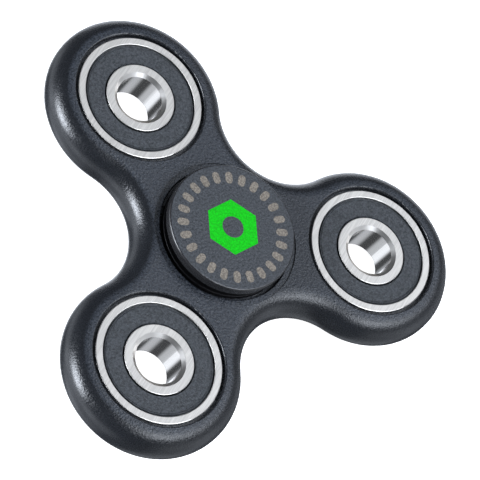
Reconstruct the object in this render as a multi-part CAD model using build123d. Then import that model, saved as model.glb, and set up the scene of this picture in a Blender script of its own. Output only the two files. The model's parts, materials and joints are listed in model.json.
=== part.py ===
from build123d import *
import os
from math import cos, radians, sin

# Three-arm hand spinner: a moulded body on a sealed ball bearing, held between two finger caps,
# with one more bearing as the weight in each arm. Lengths are in millimetres.
# The origin is on the spin axis at the mid-plane, +Z is the spin axis, and arm 1 points along +Y.

# --- Ball bearing: standard size 608, sealed on both sides -------------------------------------
BEARING_OUTER_R = 11.0
BEARING_BORE_R = 4.0
BEARING_WIDTH = 7.0
OUTER_EDGE_ROUND = 0.12         # outer corners of the outer ring
INNER_EDGE_ROUND = 0.10         # inner corners of the outer ring, outer corners of the inner ring
BORE_LEAD_WIDTH = 0.65          # lead-in at both ends of the 8 mm bore, across
BORE_LEAD_DEPTH = 0.50          # and along the bore
INNER_LAND_R = 6.05             # outside of the inner ring
OUTER_LAND_R = 8.95             # inside of the outer ring, beside its race
SEAL_SEAT_R = 9.75              # inside of the outer ring at its face, round the seal

BALL_COUNT = 7
BALL_R = 1.9845                 # 5/32 inch balls
PITCH_R = 7.5
RACE_R = 2.064                  # race groove: 52 % of the ball's diameter
RACE_CLEARANCE = 0.02           # ball to the bottom of either race

CAGE_INNER_R = 6.60
CAGE_OUTER_R = 8.40
CAGE_SHEET = 0.35
POCKET_CLEARANCE = 0.08
RIVET_R = 0.30
RIVET_HEAD_R = 0.55
RIVET_HEAD_HEIGHT = 0.22
RIVET_HEAD_ROUND = 0.15

# The seal: rubber moulded over a flat steel ring, snapped into a groove in the outer ring.
SEAL_FLOOR_Z = 2.55             # seal seat in the outer ring, above the mid-plane
SEAL_GROOVE_R = 10.05           # bottom of the snap groove
SEAL_GROOVE_TOP_Z = 2.80
SEAL_LIP_Z = 2.95               # where the groove's flank meets the seat's wall
SEAL_FACE_Z = 3.36
SEAL_LEDGE_Z = 3.32             # raised ring outside the face
SEAL_LINE_Z = 3.22              # bottom of the fine line between face and ledge
SEAL_FACE_OUTER_R = 9.16
SEAL_LINE_R = 9.21
SEAL_LEDGE_INNER_R = 9.26
SEAL_LEDGE_OUTER_R = 9.40
SEAL_GAP_R = 9.46               # the gap between the seal and the outer ring starts here
SEAL_FACE_INNER_R = 6.36
SEAL_LIP_CLEARANCE = 0.05       # lip to the inner ring: it runs just clear
SEAL_LIP_TOP_Z = 2.90
CORE_INNER_R = 6.55
CORE_OUTER_R = 9.35
CORE_BOTTOM_Z = 2.60
CORE_TOP_Z = 2.85

# --- Body ---------------------------------------------------------------------------------------
ARM_R = 26.8                    # spin axis to the centre of an arm's bearing
ARM_ANGLES = (90, 210, 330)
LOBE_R = 15.4
BODY_THICKNESS = 7.5
RIM_ROUND = 3.6
MOUTH_R = 11.50                 # each bearing bore is a little wider at its mouth
MOUTH_DEPTH = 1.20
MOUTH_ROUND = 0.25
RECESS_R = 12.7                 # shallow recess round the centre bearing
RECESS_DEPTH = 0.25

# --- Finger caps --------------------------------------------------------------------------------
CAP_R = 11.2
CAP_TOP_Z = 6.65
CAP_THICKNESS = 1.8
CAP_TOP_EDGE = 0.35
CAP_BOTTOM_EDGE = 0.20
BOSS_R = 6.0                    # stands on the inner ring only
SPIGOT_END_Z = 0.10             # each spigot stops this far short of the mid-plane
SPIGOT_LEAD = 0.30
PEG_R = 2.5                     # the lower cap's peg, pressed into the upper cap's socket
PEG_TOP_Z = 2.60
SOCKET_END_Z = 3.00
PEG_LEAD = 0.30

TOLERANCE = 0.001
HALF_WIDTH = BEARING_WIDTH / 2
HALF_THICKNESS = BODY_THICKNESS / 2
BORE_CENTRES = [(0, 0)] + [(ARM_R * cos(radians(a)), ARM_R * sin(radians(a))) for a in ARM_ANGLES]


def polar(radius, angle):
    """The point at this radius and angle in degrees about the spin axis."""
    return Vector(radius * cos(radians(angle)), radius * sin(radians(angle)))


def turned(profile):
    """The solid of revolution about Z of a closed (radius, z) profile."""
    outline = Polyline(*[(r, 0, z) for r, z in profile], close=True)
    return revolve(make_face(outline), Axis.Z)


def turned_both_ways(upper_profile):
    """A ring whose profile above the mid-plane is repeated below it."""
    lower_profile = [(r, -z) for r, z in reversed(upper_profile)]
    return turned(upper_profile + lower_profile)


def tube(outer_r, inner_r, bottom, top):
    """An upright tube between two heights."""
    return turned([(inner_r, bottom), (outer_r, bottom), (outer_r, top), (inner_r, top)])


def round_the_pitch(shape, first_angle):
    """One copy of a shape for each ball, spaced evenly round the pitch circle."""
    step = 360 / BALL_COUNT
    return [
        Pos(*polar(PITCH_R, first_angle + step * i)) * shape
        for i in range(BALL_COUNT)
    ]


def circles(shape, radius, lowest):
    """A shape's circular edges of this radius at this height or more, above and below."""
    return [
        edge
        for edge in shape.edges().filter_by(GeomType.CIRCLE)
        if abs(edge.radius - radius) < TOLERANCE and abs(edge.arc_center.Z) > lowest - TOLERANCE
    ]


def bearing_outer_ring():
    ring = turned_both_ways([
        (BEARING_OUTER_R, HALF_WIDTH),
        (SEAL_SEAT_R, HALF_WIDTH),
        (SEAL_SEAT_R, SEAL_LIP_Z),
        (SEAL_GROOVE_R, SEAL_GROOVE_TOP_Z),
        (SEAL_GROOVE_R, SEAL_FLOOR_Z),
        (OUTER_LAND_R, SEAL_FLOOR_Z),
    ])
    ring = fillet(circles(ring, BEARING_OUTER_R, HALF_WIDTH), OUTER_EDGE_ROUND)
    ring = fillet(circles(ring, SEAL_SEAT_R, HALF_WIDTH), INNER_EDGE_ROUND)
    race_centre_r = PITCH_R + BALL_R + RACE_CLEARANCE - RACE_R
    return ring - Torus(race_centre_r, RACE_R)


def bearing_inner_ring():
    ring = turned_both_ways([
        (INNER_LAND_R, HALF_WIDTH),
        (BEARING_BORE_R + BORE_LEAD_WIDTH, HALF_WIDTH),
        (BEARING_BORE_R, HALF_WIDTH - BORE_LEAD_DEPTH),
    ])
    ring = fillet(circles(ring, INNER_LAND_R, HALF_WIDTH), INNER_EDGE_ROUND)
    race_centre_r = PITCH_R - BALL_R - RACE_CLEARANCE + RACE_R
    return ring - Torus(race_centre_r, RACE_R)


def bearing_balls():
    return Compound(round_the_pitch(Sphere(BALL_R), 0))


def cage_upper():
    """The upper half of the pressed ribbon cage, with a pocket over each ball."""
    pocket_r = BALL_R + POCKET_CLEARANCE
    ribbon = tube(CAGE_OUTER_R, CAGE_INNER_R, 0, CAGE_SHEET)
    ring_space = tube(CAGE_OUTER_R, CAGE_INNER_R, 0, pocket_r + CAGE_SHEET)
    for dome in round_the_pitch(Sphere(pocket_r + CAGE_SHEET), 0):
        ribbon += dome & ring_space
    for pocket in round_the_pitch(Sphere(pocket_r), 0):
        ribbon -= pocket
    for hole in round_the_pitch(Cylinder(RIVET_R, 2 * CAGE_SHEET), 180 / BALL_COUNT):
        ribbon -= hole
    return ribbon


def cage_rivets():
    """Rivets between the balls, through both halves of the cage."""
    head = Cylinder(RIVET_HEAD_R, RIVET_HEAD_HEIGHT, align=(Align.CENTER, Align.CENTER, Align.MIN))
    head = fillet(head.edges().group_by(Axis.Z)[-1], RIVET_HEAD_ROUND)
    upper_head = Pos(0, 0, CAGE_SHEET) * head
    rivet = Cylinder(RIVET_R, 2 * CAGE_SHEET) + upper_head + mirror(upper_head, Plane.XY)
    return Compound(round_the_pitch(rivet, 180 / BALL_COUNT))


def seal_rubber():
    """The upper seal's rubber: snap bead, ledge, face and running lip."""
    lip_r = INNER_LAND_R + SEAL_LIP_CLEARANCE
    return turned([
        (lip_r, CORE_BOTTOM_Z),
        (lip_r, SEAL_LIP_TOP_Z),
        (SEAL_FACE_INNER_R, SEAL_FACE_Z),
        (SEAL_FACE_OUTER_R, SEAL_FACE_Z),
        (SEAL_LINE_R, SEAL_LINE_Z),
        (SEAL_LEDGE_INNER_R, SEAL_LEDGE_Z),
        (SEAL_LEDGE_OUTER_R, SEAL_LEDGE_Z),
        (SEAL_GAP_R, SEAL_LIP_Z),
        (SEAL_SEAT_R, SEAL_LIP_Z),
        (SEAL_GROOVE_R, SEAL_GROOVE_TOP_Z),
        (SEAL_GROOVE_R, SEAL_FLOOR_Z),
        (CORE_OUTER_R, SEAL_FLOOR_Z),
        (CORE_OUTER_R, CORE_TOP_Z),
        (CORE_INNER_R, CORE_TOP_Z),
        (CORE_INNER_R, CORE_BOTTOM_Z),
    ])


def seal_core():
    """The upper seal's flat steel ring, bare on the side of the balls."""
    return tube(CORE_OUTER_R, CORE_INNER_R, CORE_BOTTOM_Z, CORE_TOP_Z)


def bearing_nodes():
    """Every piece of one bearing at the origin, by name."""
    upper = {"seal": seal_rubber(), "seal_core": seal_core(), "cage": cage_upper()}
    nodes = {
        "outer_ring": bearing_outer_ring(),
        "inner_ring": bearing_inner_ring(),
        "balls": bearing_balls(),
        "cage_rivets": cage_rivets(),
    }
    for name, piece in upper.items():
        nodes[f"upper_{name}"] = piece
        nodes[f"lower_{name}"] = mirror(piece, Plane.XY)
    return nodes


def body_outline():
    """Three round lobes joined by concave arcs that touch them smoothly.

    The arcs' centres lie midway between the lobes at the same radius, so each arc's centre is
    ARM_R from its two lobes' centres, and its radius is what the lobe leaves of that distance.
    """
    tips = []
    for angle in ARM_ANGLES:
        lobe = polar(ARM_R, angle)
        start, end = [
            lobe + (polar(ARM_R, angle + side * 60) - lobe) * (LOBE_R / ARM_R)
            for side in (-1, 1)
        ]
        tips.append((start, polar(ARM_R + LOBE_R, angle), end))
    edges = []
    for i, (start, tip, end) in enumerate(tips):
        next_start = tips[(i + 1) % len(tips)][0]
        waist = polar(LOBE_R, ARM_ANGLES[i] + 60)
        edges += [ThreePointArc(start, tip, end), ThreePointArc(end, waist, next_start)]
    return make_face(edges)


def spinner_body():
    body = extrude(body_outline(), HALF_THICKNESS, both=True)
    rims = body.edges().group_by(Axis.Z)
    body = fillet(rims[0] + rims[-1], RIM_ROUND)
    for side in (-1, 1):
        recess_z = side * (HALF_THICKNESS - RECESS_DEPTH / 2)
        body -= Pos(0, 0, recess_z) * Cylinder(RECESS_R, RECESS_DEPTH)
    for x, y in BORE_CENTRES:
        body -= Pos(x, y) * Cylinder(BEARING_OUTER_R, BODY_THICKNESS)
        for side in (-1, 1):
            mouth_z = side * (HALF_THICKNESS - MOUTH_DEPTH / 2)
            body -= Pos(x, y, mouth_z) * Cylinder(MOUTH_R, MOUTH_DEPTH)
    return fillet(circles(body, MOUTH_R, HALF_THICKNESS - RECESS_DEPTH), MOUTH_ROUND)


def cap_blank():
    """What both finger caps share: the disc, the boss and the spigot, above the mid-plane."""
    disc_z = CAP_TOP_Z - CAP_THICKNESS
    return turned([
        (0, SPIGOT_END_Z),
        (BEARING_BORE_R - SPIGOT_LEAD, SPIGOT_END_Z),
        (BEARING_BORE_R, SPIGOT_END_Z + SPIGOT_LEAD),
        (BEARING_BORE_R, HALF_WIDTH),
        (BOSS_R, HALF_WIDTH),
        (BOSS_R, disc_z),
        (CAP_R - CAP_BOTTOM_EDGE, disc_z),
        (CAP_R, disc_z + CAP_BOTTOM_EDGE),
        (CAP_R, CAP_TOP_Z),
        (0, CAP_TOP_Z),
    ])


def round_cap_edge(cap):
    top_edge = cap.edges().group_by(Axis.Z)[-1]
    return fillet(top_edge, CAP_TOP_EDGE)


def upper_cap():
    """The upper finger cap, with a socket up the middle of its spigot."""
    socket = tube(PEG_R, 0, SPIGOT_END_Z, SOCKET_END_Z)
    return round_cap_edge(cap_blank()) - socket


def lower_cap():
    """The lower finger cap, with a peg that fills the upper cap's socket."""
    cap = mirror(round_cap_edge(cap_blank()), Plane.XY)
    peg = turned([
        (0, -SPIGOT_END_Z),
        (PEG_R, -SPIGOT_END_Z),
        (PEG_R, PEG_TOP_Z - PEG_LEAD),
        (PEG_R - PEG_LEAD, PEG_TOP_Z),
        (0, PEG_TOP_Z),
    ])
    return cap + peg


def main():
    os.makedirs("parts", exist_ok=True)
    nodes = {"spinner_body": spinner_body(), "upper_cap": upper_cap(), "lower_cap": lower_cap()}
    bearing = bearing_nodes()
    places = ["centre"] + [f"arm_{number}" for number in range(1, len(ARM_ANGLES) + 1)]
    for place, (x, y) in zip(places, BORE_CENTRES):
        for name, piece in bearing.items():
            nodes[f"{place}_{name}"] = Pos(x, y) * piece
    for name, piece in nodes.items():
        piece.label = name
        export_step(piece, f"parts/{name}.step")


main()
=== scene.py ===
import json
import math

import bmesh
import bpy
from mathutils import Matrix, Vector


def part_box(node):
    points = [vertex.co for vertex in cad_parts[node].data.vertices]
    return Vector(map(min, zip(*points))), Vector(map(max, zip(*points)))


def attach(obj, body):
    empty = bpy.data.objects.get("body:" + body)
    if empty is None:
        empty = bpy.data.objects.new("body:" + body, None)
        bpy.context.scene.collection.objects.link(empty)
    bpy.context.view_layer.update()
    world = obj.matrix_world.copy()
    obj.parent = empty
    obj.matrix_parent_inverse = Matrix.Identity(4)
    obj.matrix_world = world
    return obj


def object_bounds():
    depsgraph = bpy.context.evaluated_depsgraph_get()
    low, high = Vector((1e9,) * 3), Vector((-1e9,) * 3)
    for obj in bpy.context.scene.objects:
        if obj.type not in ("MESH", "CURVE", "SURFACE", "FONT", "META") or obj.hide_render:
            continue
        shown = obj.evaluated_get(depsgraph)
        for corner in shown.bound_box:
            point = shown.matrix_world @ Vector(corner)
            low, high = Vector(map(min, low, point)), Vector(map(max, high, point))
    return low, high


# The look of a three-arm hand spinner, built round its CAD model. Lengths are in metres.
# The origin is on the spin axis at the mid-plane, +Z is the spin axis, and arm 1 points along +Y.

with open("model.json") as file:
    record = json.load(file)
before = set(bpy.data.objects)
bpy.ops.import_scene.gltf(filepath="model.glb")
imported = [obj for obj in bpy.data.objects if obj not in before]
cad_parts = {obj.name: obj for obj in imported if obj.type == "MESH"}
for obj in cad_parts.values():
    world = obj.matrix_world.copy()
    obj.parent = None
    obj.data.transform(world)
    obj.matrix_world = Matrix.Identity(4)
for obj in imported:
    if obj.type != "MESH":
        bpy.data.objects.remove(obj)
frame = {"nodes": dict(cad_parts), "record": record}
cad_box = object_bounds()
MM = 0.001

# --- Camera -------------------------------------------------------------------------------------
CAMERA_AZIMUTH = math.radians(-165.95)      # from the aim point to the camera, about +Z from +X
CAMERA_ELEVATION = math.radians(55.40)
CAMERA_ROLL = math.radians(46.69)           # how far the camera's right-hand side is tilted up
CAMERA_RANGE = 547.9 * MM
CAMERA_AIM = Vector((4.27 * MM, -1.32 * MM, 0))
CAMERA_LENS = 248.6                         # mm, as the sensor's width is
CAMERA_SENSOR = 36.0
CAMERA_NEAR = 0.01
CAMERA_FAR = 10.0

# --- Light ----------------------------------------------------------------------------------------
# The studio is dark, with tall soft-edged panels round the object. Angles are in degrees.
WORLD_FILL = 0.08
LIGHT_TINT = (0.92, 0.98, 1.08)     # slightly cool
BACKDROP = 1.0                      # how bright the plain backdrop looks behind the object
PANELS = (                          # azimuth, half width, low and high elevation, fade, radiance
    (151, 12, 2, 27, 7, 26.0),      # bright box low on one side: the streaks along the rim
    (287, 30, 46, 72, 9, 8.4),      # large box high on the other side: the lit shoulders
    (338, 26, 34, 66, 9, 2.2),
    (20, 30, 44, 75, 9, 1.15),      # what the top faces mirror
    (325, 28, -30, 14, 10, 0.50),
    (155, 34, -30, -4, 9, 1.6),
    (30, 24, -88, -6, 12, 1.6),     # the bands in the open bores
    (62, 14, -88, -25, 14, 0.35),
    (148, 12, -88, -30, 18, 1.25),
    (186, 12, -88, -30, 16, 0.60),
    (281, 16, -88, 15, 20, 0.55),
    (105, 24, -36, -4, 10, 0.90),   # low strips that outline the sides
    (200, 14, -34, 0, 10, 0.90),
    (290, 26, -6, 24, 10, 0.50),
)

# --- Places taken from the frame ------------------------------------------------------------------
CAP_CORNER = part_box("upper_cap")[1]
CAP_R = CAP_CORNER.x
CAP_TOP = CAP_CORNER.z
FLOOR_GAP = 0.05 * MM
FLOOR_Z = cad_box[0].z - FLOOR_GAP          # just clear of the cap that stands on it
FLOOR_HALF = 2.5                            # half the floor's width
FLOOR_GLOW = 0.95                           # keeps the floor as white as the backdrop

# --- Finish ---------------------------------------------------------------------------------------
BODY_GRAIN = 0.32 * MM                      # size of the moulded pits, and how deep they look
BODY_GRAIN_DEPTH = 0.055 * MM
CAP_GRAIN = 0.28 * MM
CAP_GRAIN_DEPTH = 0.075 * MM
SEAL_GRAIN = 0.30 * MM
SEAL_GRAIN_DEPTH = 0.080 * MM
INK_GRAIN_DEPTH = 0.05 * MM                 # the ink rounds the cap's grain off
BODY_FLECK = 0.34 * MM                      # size of the lighter flecks
CAP_FLECK = 0.35 * MM
SEAL_FLECK = 0.35 * MM
INK_FLECK = 0.30 * MM
BODY_CLOUD = 9 * MM                         # size of the broad, faint change of tone
SCRATCH = 0.18 * MM                         # width of the scratches on the ground ring faces
SCRATCH_BAND = 1.4 * MM
METAL_RELIEF = 0.004 * MM                   # how deep the scratches and the mottle look
OXIDE_MOTTLE = 0.5 * MM
BALL_SMUDGE = 1.5 * MM
CAGE_GRAIN = 0.12 * MM
GRINDING_TURN = math.radians(64)            # which way the scratches run
PLASTIC_IOR = 1.5
INK_IOR = 1.45

# --- Print on the upper cap -----------------------------------------------------------------------
INK_THICKNESS = 0.012 * MM
TICK_COUNT = 24
TICK_MIDDLE_R = 0.79 * CAP_R
TICK_LENGTH = 2.1 * MM
TICK_WIDTH = 1.25 * MM
HEXAGON_R = 0.44 * CAP_R
HEXAGON_HOLE_R = 0.17 * CAP_R


def direction(azimuth, elevation):
    """The unit vector at this azimuth from +X about +Z and this elevation, in radians."""
    level = math.cos(elevation)
    return Vector((level * math.cos(azimuth), level * math.sin(azimuth), math.sin(elevation)))


# --- Node helpers ---------------------------------------------------------------------------------
class Nodes:
    """The node tree of a material or a world, with short calls to add to it.

    A value is a number, a tuple or another node's socket, which is then linked.
    """

    def __init__(self, owner, shader="Principled BSDF"):
        owner.use_nodes = True
        self.owner = owner
        self.tree = owner.node_tree
        self.shader = self.tree.nodes[shader]
        self.coords = self.tree.nodes.new("ShaderNodeTexCoord")

    def add(self, kind, values=(), **settings):
        """A new node. values go to its inputs, by name or number."""
        made = self.tree.nodes.new(kind)
        for name, value in settings.items():
            setattr(made, name, value)
        for socket, value in dict(values).items():
            self.put(made.inputs[socket], value)
        return made

    def put(self, socket, value):
        if isinstance(value, bpy.types.NodeSocket):
            self.tree.links.new(value, socket)
        else:
            socket.default_value = value

    def maths(self, operation, a, b=0.0):
        return self.add("ShaderNodeMath", {0: a, 1: b}, operation=operation).outputs[0]

    def vector_maths(self, operation, a, b=(0, 0, 0), output="Vector"):
        made = self.add("ShaderNodeVectorMath", {0: a, 1: b}, operation=operation)
        return made.outputs[output]

    def position(self, scale=(1, 1, 1), turn=(0, 0, 0)):
        """Object coordinates, turned and then scaled, so a pattern stays with its piece."""
        turned = self.add(
            "ShaderNodeVectorRotate",
            {"Vector": self.coords.outputs["Object"], "Rotation": turn},
            rotation_type="EULER_XYZ",
        )
        return self.vector_maths("MULTIPLY", turned.outputs[0], scale)

    def noise(self, size, detail=2.0, rough=0.5, scale=(1, 1, 1), turn=(0, 0, 0)):
        """Noise whose features are about this size in metres."""
        made = self.add("ShaderNodeTexNoise", {
            "Vector": self.position(scale, turn),
            "Scale": 1 / size,
            "Detail": detail,
            "Roughness": rough,
        })
        return made.outputs["Fac"]

    def ramp(self, value, start, end, low=0.0, high=1.0):
        """value from start to end, mapped smoothly to low to high."""
        made = self.add(
            "ShaderNodeMapRange",
            {"Value": value, "From Min": start, "From Max": end, "To Min": low, "To Max": high},
            interpolation_type="SMOOTHSTEP",
        )
        return made.outputs["Result"]

    def mix(self, factor, a, b):
        """A mix of two colours."""
        made = self.add("ShaderNodeMix", {"Factor": factor}, data_type="RGBA")
        self.put(made.inputs[6], a)
        self.put(made.inputs[7], b)
        return made.outputs[2]

    def flatness(self):
        """1 where the surface faces straight up or down, 0 where it stands upright."""
        split = self.add("ShaderNodeSeparateXYZ", {0: self.coords.outputs["Normal"]})
        return self.maths("ABSOLUTE", split.outputs["Z"])

    def bump(self, height, distance, strength=1.0):
        made = self.add(
            "ShaderNodeBump", {"Height": height, "Distance": distance, "Strength": strength}
        )
        return made.outputs["Normal"]

    def surface(self, **sockets):
        """Sets the shader's sockets: words joined by underscores name them."""
        for name, value in sockets.items():
            self.put(self.shader.inputs[name.replace("_", " ")], value)
        return self.owner


def rgb(r, g, b):
    return (r, g, b, 1.0)


# --- Materials ------------------------------------------------------------------------------------
def grain_height(nodes, size):
    """Moulded grain: small rounded pits of uneven size."""
    cells = nodes.add(
        "ShaderNodeTexVoronoi",
        {"Vector": nodes.position(), "Scale": 1 / size, "Randomness": 1.0},
        feature="SMOOTH_F1",
    )
    fine = nodes.noise(size * 0.6, detail=3.0, rough=0.6)
    return nodes.maths("ADD", cells.outputs["Distance"], fine)


def body_plastic():
    """Pebbled grain, strongest on the faces, that fades into the smooth outer wall."""
    nodes = Nodes(bpy.data.materials.new("body_plastic"))
    facing = nodes.flatness()
    tone = nodes.ramp(nodes.noise(BODY_FLECK, detail=4.0, rough=0.7), 0.3, 0.7)
    cloud = nodes.ramp(nodes.noise(BODY_CLOUD, detail=2.0), 0.3, 0.7, 0.0, 0.3)
    pebbles = nodes.mix(tone, rgb(0.006, 0.008, 0.011), rgb(0.044, 0.052, 0.066))
    colour = nodes.mix(nodes.ramp(facing, 0.92, 0.995), rgb(0.009, 0.010, 0.012), pebbles)
    colour = nodes.mix(cloud, colour, rgb(0.014, 0.016, 0.020))
    on_shoulder = nodes.maths("ADD", nodes.ramp(facing, 0.30, 0.85, 0.0, 0.5), 0.06)
    on_face = nodes.ramp(facing, 0.90, 0.99, 0.0, 0.60)
    strength = nodes.maths("ADD", on_shoulder, on_face)
    return nodes.surface(
        Base_Color=colour,
        Roughness=nodes.ramp(tone, 0.0, 1.0, 0.22, 0.33),
        Normal=nodes.bump(grain_height(nodes, BODY_GRAIN), BODY_GRAIN_DEPTH, strength),
        IOR=PLASTIC_IOR,
    )


def cap_plastic():
    """Grained on the flat faces, and smooth and darker round the side."""
    nodes = Nodes(bpy.data.materials.new("cap_plastic"))
    flat = nodes.ramp(nodes.flatness(), 0.90, 0.995)
    tone = nodes.ramp(nodes.noise(CAP_FLECK, detail=4.0, rough=0.7), 0.3, 0.7)
    grained = nodes.mix(tone, rgb(0.009, 0.011, 0.013), rgb(0.062, 0.069, 0.080))
    strength = nodes.maths("MULTIPLY", flat, 0.8)
    return nodes.surface(
        Base_Color=nodes.mix(flat, rgb(0.016, 0.016, 0.017), grained),
        Roughness=nodes.ramp(flat, 0.0, 1.0, 0.22, 0.40),
        Normal=nodes.bump(grain_height(nodes, CAP_GRAIN), CAP_GRAIN_DEPTH, strength),
        IOR=PLASTIC_IOR,
    )


def seal_rubber():
    """Matt and grained all over."""
    nodes = Nodes(bpy.data.materials.new("seal_rubber"))
    tone = nodes.ramp(nodes.noise(SEAL_FLECK, detail=4.0, rough=0.7), 0.3, 0.7)
    return nodes.surface(
        Base_Color=nodes.mix(tone, rgb(0.009, 0.011, 0.013), rgb(0.063, 0.070, 0.079)),
        Roughness=nodes.maths("ADD", nodes.maths("MULTIPLY", tone, 0.12), 0.40),
        Normal=nodes.bump(grain_height(nodes, SEAL_GRAIN), SEAL_GRAIN_DEPTH, 0.9),
        IOR=PLASTIC_IOR,
    )


def ring_steel():
    """Ground faces with fine straight scratches, polished walls, and duller edges between."""
    nodes = Nodes(bpy.data.materials.new("ring_steel"))
    facing = nodes.flatness()
    flat = nodes.ramp(facing, 0.93, 0.99)
    lead_in = nodes.maths("SUBTRACT", nodes.ramp(facing, 0.05, 0.30), flat)
    steep = nodes.ramp(facing, 0.03, 0.12)
    edge = nodes.maths("SUBTRACT", steep, nodes.ramp(facing, 0.66, 0.76))
    turn = (0, 0, GRINDING_TURN)
    lines = nodes.noise(SCRATCH, detail=5.0, rough=0.65, scale=(1, 0.03, 1), turn=turn)
    bands = nodes.noise(SCRATCH_BAND, detail=2.0, rough=0.5, scale=(1, 0.06, 1), turn=turn)
    uneven = nodes.maths("ADD", lines, nodes.ramp(bands, 0.3, 0.7, -0.12, 0.12))
    scratches = nodes.ramp(uneven, 0.3, 0.7)
    ground = nodes.mix(scratches, rgb(0.475, 0.455, 0.425), rgb(0.625, 0.60, 0.56))
    rough = nodes.maths("MULTIPLY", flat, nodes.ramp(bands, 0.3, 0.7, 0.18, 0.28))
    rough = nodes.maths("ADD", rough, nodes.maths("MULTIPLY", lead_in, 0.14))
    rough = nodes.maths("ADD", rough, nodes.maths("MULTIPLY", edge, 0.30))
    return nodes.surface(
        Base_Color=nodes.mix(flat, rgb(0.735, 0.71, 0.675), ground),
        Metallic=1.0,
        Roughness=nodes.maths("ADD", rough, 0.16),
        Normal=nodes.bump(lines, METAL_RELIEF, nodes.maths("MULTIPLY", flat, 0.4)),
    )


def blackened_steel():
    """Near-black steel for the centre bearing under the cap: painted shade, standing in for the
    cap's shadow on it.
    """
    nodes = Nodes(bpy.data.materials.new("blackened_steel"))
    mottle = nodes.noise(OXIDE_MOTTLE, detail=4.0, rough=0.7)
    return nodes.surface(
        # painted shade: this near-black colour, with a faint mottle, stands in for the shadow under
        # the cap
        Base_Color=nodes.mix(mottle, rgb(0.001, 0.001, 0.001), rgb(0.003, 0.003, 0.004)),
        Roughness=nodes.ramp(mottle, 0.3, 0.7, 0.42, 0.55),
        Normal=nodes.bump(mottle, METAL_RELIEF, 0.4),
        Specular_IOR_Level=0.2,
        IOR=PLASTIC_IOR,
    )


def ball_steel():
    """Mirror-bright, with faint smudges."""
    nodes = Nodes(bpy.data.materials.new("ball_steel"))
    smudge = nodes.noise(BALL_SMUDGE, detail=3.0)
    return nodes.surface(
        Base_Color=rgb(0.80, 0.80, 0.81),
        Metallic=1.0,
        Roughness=nodes.ramp(smudge, 0.3, 0.7, 0.03, 0.08),
    )


def cage_steel():
    """Pressed sheet, duller than the rings."""
    nodes = Nodes(bpy.data.materials.new("cage_steel"))
    grain = nodes.noise(CAGE_GRAIN, detail=4.0, rough=0.6)
    colour = nodes.mix(grain, rgb(0.48, 0.48, 0.46), rgb(0.66, 0.66, 0.64))
    return nodes.surface(
        Base_Color=colour,
        Metallic=1.0,
        Roughness=nodes.ramp(grain, 0.3, 0.7, 0.28, 0.42),
        Normal=nodes.bump(grain, METAL_RELIEF, 0.4),
    )


def ink(name, dark, light):
    """Printed ink, thin enough for the cap's grain to show through it."""
    nodes = Nodes(bpy.data.materials.new(name))
    tone = nodes.noise(INK_FLECK, detail=4.0, rough=0.75)
    return nodes.surface(
        Base_Color=nodes.mix(nodes.ramp(tone, 0.3, 0.7), dark, light),
        Roughness=nodes.ramp(tone, 0.3, 0.7, 0.5, 0.62),
        Normal=nodes.bump(grain_height(nodes, CAP_GRAIN), INK_GRAIN_DEPTH, 0.8),
        Specular_IOR_Level=0.25,
        IOR=INK_IOR,
    )


def floor_material():
    """White and glowing from above, and clear from below, so the underside can be seen."""
    nodes = Nodes(bpy.data.materials.new("floor"))
    clear = nodes.add("ShaderNodeBsdfTransparent").outputs["BSDF"]
    below = nodes.add("ShaderNodeNewGeometry").outputs["Backfacing"]
    seen = nodes.add("ShaderNodeMixShader", {0: below, 1: nodes.shader.outputs["BSDF"], 2: clear})
    nodes.put(nodes.tree.nodes["Material Output"].inputs["Surface"], seen.outputs["Shader"])
    return nodes.surface(
        Base_Color=rgb(0.9, 0.9, 0.9),
        Roughness=1.0,
        Specular_IOR_Level=0.0,
        Emission_Color=rgb(1, 1, 1),
        Emission_Strength=FLOOR_GLOW,
    )


MATERIALS = {
    "body_plastic": body_plastic(),
    "cap_plastic": cap_plastic(),
    "seal_rubber": seal_rubber(),
    "ring_steel": ring_steel(),
    # blackened_steel is painted shade: the centre bearing is made near-black where the cap shades
    # it
    "blackened_steel": blackened_steel(),
    "ball_steel": ball_steel(),
    "cage_steel": cage_steel(),
    "print_green": ink("print_green", rgb(0.0, 0.34, 0.001), rgb(0.0, 0.64, 0.005)),
    "print_taupe": ink("print_taupe", rgb(0.10, 0.087, 0.071), rgb(0.31, 0.272, 0.226)),
}


def finish_cad_nodes():
    """Gives every CAD node the material of its slot in the record."""
    slots = {s["node"]: s["material_slot"] for s in frame["record"]["subparts"]}
    for name, piece in frame["nodes"].items():
        piece.data.materials.clear()
        piece.data.materials.append(MATERIALS[slots[name]])


# --- Print ----------------------------------------------------------------------------------------
def film(name, outlines, slot):
    """A film of ink on the cap's top: flat outlines, thickened upwards."""
    mesh = bpy.data.meshes.new(name)
    bm = bmesh.new()
    for outline, hole in outlines:
        add_film_patch(bm, outline, hole)
    bmesh.ops.recalc_face_normals(bm, faces=bm.faces)
    bm.to_mesh(mesh)
    bm.free()
    piece = bpy.data.objects.new(name, mesh)
    bpy.context.scene.collection.objects.link(piece)
    mesh.materials.append(MATERIALS[slot])
    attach(piece, "hub")


def add_film_patch(bm, outline, hole):
    """One closed patch of ink. hole is an inner outline with as many points, or None."""
    levels = (CAP_TOP, CAP_TOP + INK_THICKNESS)
    loops = [
        [[bm.verts.new((p.x, p.y, z)) for p in points] for z in levels]
        for points in (outline, hole) if points
    ]
    count = len(outline)
    for low, high in loops:
        for i in range(count):
            j = (i + 1) % count
            bm.faces.new((low[i], low[j], high[j], high[i]))
    if hole is None:
        for level in loops[0]:
            bm.faces.new(level)
        return
    for outer, inner in zip(loops[0], loops[1]):
        for i in range(count):
            j = (i + 1) % count
            bm.faces.new((outer[i], outer[j], inner[j], inner[i]))


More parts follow.
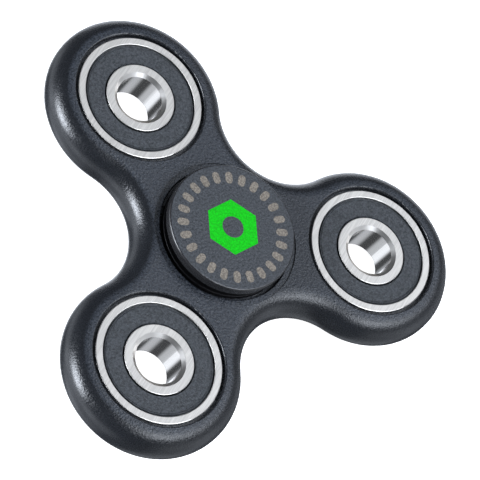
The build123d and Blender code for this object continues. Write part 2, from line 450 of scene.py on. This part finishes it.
def tick(angle):
    """A short bar with round ends, along the radius at this angle."""
    outward = Matrix.Rotation(angle, 2)
    end_steps = 10
    points = []
    for side in (1, -1):
        for step in range(end_steps + 1):
            turn = math.pi * (step / end_steps - 0.5)
            reach = side * (TICK_LENGTH - TICK_WIDTH) / 2 + side * math.cos(turn) * TICK_WIDTH / 2
            across = side * math.sin(turn) * TICK_WIDTH / 2
            points.append(outward @ Vector((TICK_MIDDLE_R + reach, across)))
    return points


def hexagon_with_hole():
    """A regular hexagon with a round hole, as two outlines with as many points as each other."""
    per_side = 8
    corners = [Matrix.Rotation(math.radians(60 * i), 2) @ Vector((HEXAGON_R, 0)) for i in range(6)]
    outline, hole = [], []
    for i, corner in enumerate(corners):
        following = corners[(i + 1) % len(corners)]
        for step in range(per_side):
            point = corner.lerp(following, step / per_side)
            outline.append(point)
            hole.append(point.normalized() * HEXAGON_HOLE_R)
    return outline, hole


def make_print():
    ticks = [(tick(2 * math.pi * i / TICK_COUNT), None) for i in range(TICK_COUNT)]
    film("cap_print_ticks", ticks, "print_taupe")
    film("cap_print_hexagon", [hexagon_with_hole()], "print_green")


# --- Studio ---------------------------------------------------------------------------------------
def make_floor():
    mesh = bpy.data.meshes.new("floor")
    corners = [(-FLOOR_HALF, -FLOOR_HALF), (FLOOR_HALF, -FLOOR_HALF),
               (FLOOR_HALF, FLOOR_HALF), (-FLOOR_HALF, FLOOR_HALF)]
    mesh.from_pydata([(x, y, FLOOR_Z) for x, y in corners], [], [(0, 1, 2, 3)])
    mesh.materials.append(floor_material())
    floor = bpy.data.objects.new("floor", mesh)
    bpy.context.scene.collection.objects.link(floor)
    floor.visible_glossy = False            # the bores mirror the studio, as if held up in the air


def panel(nodes, azimuth, half_width, low, high, fade, radiance):
    """The light from one of PANELS, as a socket."""
    heading = nodes.vector_maths("MULTIPLY", nodes.coords.outputs["Generated"], (1, 1, 0))
    heading = nodes.vector_maths("NORMALIZE", heading)
    towards = direction(math.radians(azimuth), 0)
    facing = nodes.vector_maths("DOT_PRODUCT", heading, towards, "Value")
    outside = math.cos(math.radians(half_width + fade))
    inside = math.cos(math.radians(max(half_width - fade, 0)))
    height = nodes.add("ShaderNodeSeparateXYZ", {0: nodes.coords.outputs["Generated"]}).outputs["Z"]
    bottom = [math.sin(math.radians(max(low + side * fade, -90))) for side in (-1, 1)]
    top = [math.sin(math.radians(min(high + side * fade, 90))) for side in (-1, 1)]
    across = nodes.ramp(facing, outside, inside, 0.0, radiance)
    upwards = nodes.maths("MULTIPLY", nodes.ramp(height, *bottom), nodes.ramp(height, *top, 1, 0))
    return nodes.maths("MULTIPLY", across, upwards)


def make_world():
    """Lights the object with the panels, and shows the camera a plain backdrop."""
    world = bpy.data.worlds.new("studio")
    bpy.context.scene.world = world
    nodes = Nodes(world, "Background")
    light = WORLD_FILL
    for values in PANELS:
        light = nodes.maths("ADD", panel(nodes, *values), light)
    seen = nodes.add("ShaderNodeLightPath").outputs["Is Camera Ray"]
    backdrop = nodes.add("ShaderNodeMix", {0: seen, 2: light, 3: BACKDROP}, data_type="FLOAT")
    tint = nodes.mix(seen, rgb(*LIGHT_TINT), rgb(1, 1, 1))
    nodes.surface(Color=tint, Strength=backdrop.outputs[0])


def make_camera():
    """Looks at the aim point from the given azimuth and elevation, rolled about its own axis."""
    back = direction(CAMERA_AZIMUTH, CAMERA_ELEVATION)
    level_right = Vector((0, 0, 1)).cross(back).normalized()
    level_up = back.cross(level_right)
    right = level_right * math.cos(CAMERA_ROLL) + level_up * math.sin(CAMERA_ROLL)
    up = back.cross(right)
    data = bpy.data.cameras.new("camera")
    data.lens = CAMERA_LENS
    data.sensor_width = CAMERA_SENSOR
    data.clip_start = CAMERA_NEAR
    data.clip_end = CAMERA_FAR
    camera = bpy.data.objects.new("camera", data)
    bpy.context.scene.collection.objects.link(camera)
    turn = Matrix((right, up, back)).transposed()
    camera.matrix_world = Matrix.Translation(CAMERA_AIM + back * CAMERA_RANGE) @ turn.to_4x4()
    bpy.context.scene.camera = camera


make_camera()
finish_cad_nodes()
make_print()
make_floor()
make_world()
bpy.context.scene.view_settings.view_transform = "Standard"
